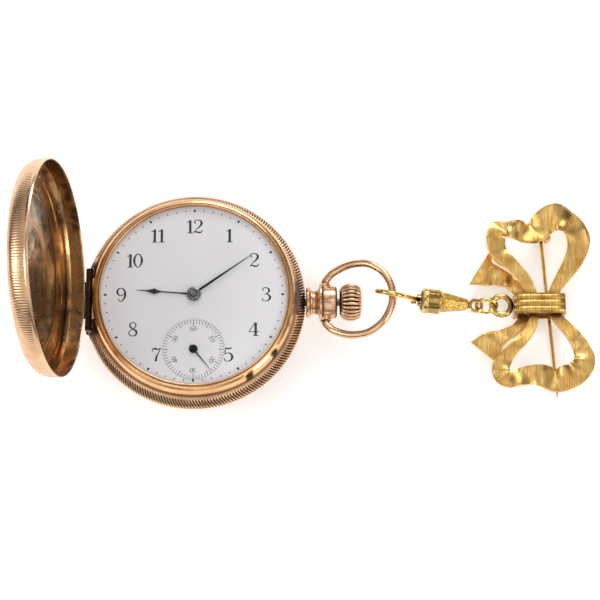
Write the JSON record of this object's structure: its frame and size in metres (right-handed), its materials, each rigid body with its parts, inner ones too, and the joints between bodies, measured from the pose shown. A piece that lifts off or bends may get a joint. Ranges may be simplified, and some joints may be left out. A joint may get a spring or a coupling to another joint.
{
  "type": "hunter pocket watch",
  "caption": "Small hunter pocket watch with its front cover open, a swivel clasp on its bow and a ribbon-bow brooch hung from the clasp.",
  "frame": {"origin": "middle of the flat on the back cover", "axes": "+X along the pendant to the crown, +Y to 12 o'clock, +Z out of the dial"},
  "size_m": [0.0877, 0.0346, 0.0395],
  "materials": {
    "rose_gold": "polished rose gold with brown patina in the grooves",
    "yellow_gold": "brushed yellow gold",
    "wheel_brass": "gilt brass",
    "nickel_plate": "satin nickel",
    "steel": "polished steel",
    "blued_steel": "blued steel",
    "enamel": "fired white enamel",
    "watch_glass": "clear"
  },
  "bodies": {
    "case": {"case_middle": "rose_gold", "front_hinge_pin": "steel", "back_hinge_pin": "steel", "dust_hinge_pin": "steel", "pendant": "rose_gold", "dial": "enamel", "pillar_plate": "nickel_plate", "barrel_bridge": "nickel_plate", "train_bridge": "nickel_plate", "balance_cock": "nickel_plate", "pallet_cock": "nickel_plate", "hairspring": "blued_steel", "crown_wheel_screw": "steel", "click_screw": "steel", "lift_spring": "steel", "case_screw_upper": "steel", "case_screw_lower": "steel"},
    "front_cover": {"front_cover": "rose_gold"},
    "back_cover": {"back_cover": "rose_gold"},
    "dust_cover": {"dust_cover": "rose_gold"},
    "bezel": {"bezel": "rose_gold", "glass": "watch_glass"},
    "lid_catch": {"lid_catch": "steel"},
    "winding_pinion": {"winding_pinion": "steel"},
    "crown": {"crown": "rose_gold", "winding_stem": "steel"},
    "crown_wheel": {"crown_wheel": "steel"},
    "barrel_arbor": {"ratchet_wheel_and_arbor": "steel"},
    "click": {"click": "steel"},
    "barrel": {"mainspring_barrel": "wheel_brass"},
    "centre": {"centre_wheel": "wheel_brass", "cannon_pinion": "steel", "minute_hand": "blued_steel"},
    "third": {"third_wheel": "wheel_brass"},
    "fourth": {"fourth_wheel": "wheel_brass", "seconds_hand": "blued_steel"},
    "escape": {"escape_wheel": "steel"},
    "minute_wheel": {"minute_wheel": "wheel_brass"},
    "hour": {"hour_wheel": "wheel_brass", "hour_hand": "blued_steel"},
    "lever": {"pallet_fork": "steel"},
    "balance": {"balance_wheel": "wheel_brass"},
    "bow": {"bow": "rose_gold"},
    "hook": {"swivel_hook": "yellow_gold"},
    "gate": {"swivel_gate": "yellow_gold"},
    "swivel": {"swivel_barrel": "yellow_gold"},
    "link": {"jump_link": "yellow_gold"},
    "brooch": {"brooch_bail": "yellow_gold", "ribbon_loop_upper": "yellow_gold", "ribbon_loop_lower": "yellow_gold", "ribbon_tail_upper": "yellow_gold", "ribbon_tail_lower": "yellow_gold", "knot_band": "yellow_gold", "pin_joint": "yellow_gold", "pin_catch": "yellow_gold"},
    "pin": {"pin_stem": "steel"}
  },
  "joints": [
    {"name": "lid_hinge", "type": "hinge", "parent": "case", "child": "front_cover", "pos_m": [-0.01645, 0, 0.007], "axis": [0, -1, 0], "range_deg": [-98.5, 0]},
    {"name": "bezel_lift", "type": "slide", "parent": "case", "child": "bezel", "axis": [0, 0, 1], "range_m": [0, 0.012]},
    {"name": "back_hinge", "type": "hinge", "parent": "case", "child": "back_cover", "pos_m": [-0.01645, 0, 0.0048], "axis": [0, 1, 0], "range_deg": [0, 95]},
    {"name": "dust_hinge", "type": "hinge", "parent": "case", "child": "dust_cover", "pos_m": [-0.01559, 0, 0.00455], "axis": [0, 1, 0], "range_deg": [0, 76]},
    {"name": "catch_press", "type": "slide", "parent": "case", "child": "lid_catch", "axis": [-1, 0, 0], "range_m": [0, 0.0001]},
    {"name": "winding", "type": "hinge", "parent": "case", "child": "winding_pinion", "pos_m": [0.013, 0, 0.00505], "axis": [1, 0, 0], "continuous": true},
    {"name": "crown_push", "type": "slide", "parent": "winding_pinion", "child": "crown", "axis": [-1, 0, 0], "range_m": [-0.0006, 0.0004]},
    {"name": "crown_wheel_spin", "type": "hinge", "parent": "case", "child": "crown_wheel", "pos_m": [0.009, 0, 0.0023], "axis": [0, 0, 1], "continuous": true},
    {"name": "ratchet_spin", "type": "hinge", "parent": "case", "child": "barrel_arbor", "pos_m": [0.00453, 0.00453, 0.0023], "axis": [0, 0, 1], "continuous": true},
    {"name": "click_pivot", "type": "hinge", "parent": "case", "child": "click", "pos_m": [0.00218, 0.00858, 0.0023], "axis": [0, 0, 1], "range_deg": [0, 12]},
    {"name": "seconds_train", "type": "hinge", "parent": "case", "child": "fourth", "pos_m": [0, -0.00875, 0.0067], "axis": [0, 0, -1], "continuous": true},
    {"name": "third_spin", "type": "hinge", "parent": "case", "child": "third", "pos_m": [-0.00087, -0.00442, 0.0067], "axis": [0, 0, -1], "continuous": true},
    {"name": "centre_spin", "type": "hinge", "parent": "case", "child": "centre", "pos_m": [0, 0, 0.0067], "axis": [0, 0, -1], "continuous": true},
    {"name": "barrel_spin", "type": "hinge", "parent": "case", "child": "barrel", "pos_m": [0.00453, 0.00453, 0.0067], "axis": [0, 0, -1], "continuous": true},
    {"name": "escape_spin", "type": "hinge", "parent": "case", "child": "escape", "pos_m": [-0.00417, -0.00801, 0.0067], "axis": [0, 0, -1], "continuous": true},
    {"name": "minute_wheel_spin", "type": "hinge", "parent": "case", "child": "minute_wheel", "pos_m": [0.0017, 0.0017, 0.0067], "axis": [0, 0, -1], "continuous": true},
    {"name": "hour_spin", "type": "hinge", "parent": "case", "child": "hour", "pos_m": [0, 0, 0.0087], "axis": [0, 0, -1], "continuous": true},
    {"name": "lever_rock", "type": "hinge", "parent": "case", "child": "lever", "pos_m": [-0.00593, -0.00571, 0.0067], "axis": [0, 0, 1], "range_deg": [-5, 5]},
    {"name": "balance_swing", "type": "hinge", "parent": "case", "child": "balance", "pos_m": [-0.0086, -0.0022, 0.0067], "axis": [0, 0, 1], "range_deg": [-135, 135]},
    {"name": "bow_hinge", "type": "hinge", "parent": "case", "child": "bow", "pos_m": [0.02034, 0, 0.00505], "axis": [0, -1, 0], "range_deg": [-80, 60]},
    {"name": "hook_swing", "type": "hinge", "parent": "bow", "child": "hook", "pos_m": [0.03071, 0, 0.00887], "axis": [0, 1, 0], "range_deg": [-35, 35]},
    {"name": "gate_hinge", "type": "hinge", "parent": "hook", "child": "gate", "pos_m": [0.03416, 0.00035, 0.0045], "axis": [0, 1, 0], "range_deg": [-18, 0]},
    {"name": "swivel_spin", "type": "hinge", "parent": "hook", "child": "swivel", "pos_m": [0.03546, 0.00045, 0.00455], "axis": [0.9828, -0.0514, -0.1771], "continuous": true},
    {"name": "link_swing", "type": "hinge", "parent": "swivel", "child": "link", "pos_m": [0.04414, 0, 0.003], "axis": [0, 1, 0], "range_deg": [-12, 12]},
    {"name": "brooch_swing", "type": "hinge", "parent": "link", "child": "brooch", "pos_m": [0.04734, 0, 0.003], "axis": [0, 0, 1], "range_deg": [-15, 15]},
    {"name": "pin_hinge", "type": "hinge", "parent": "brooch", "child": "pin", "pos_m": [0.05504, 0.012, 0.0007], "axis": [1, 0, 0], "range_deg": [0, 60]}
  ],
  "couplings": [
    {"joint": "dust_hinge", "follows": "back_hinge", "ratio": 0.8},
    {"joint": "crown_wheel_spin", "follows": "winding", "ratio": -0.53333},
    {"joint": "ratchet_spin", "follows": "winding", "ratio": 0.53333},
    {"joint": "third_spin", "follows": "seconds_train", "ratio": -0.13333},
    {"joint": "centre_spin", "follows": "seconds_train", "ratio": 0.016667},
    {"joint": "barrel_spin", "follows": "seconds_train", "ratio": -0.002381},
    {"joint": "escape_spin", "follows": "seconds_train", "ratio": -10},
    {"joint": "minute_wheel_spin", "follows": "seconds_train", "ratio": -0.0055556},
    {"joint": "hour_spin", "follows": "seconds_train", "ratio": 0.0013889}
  ]
}
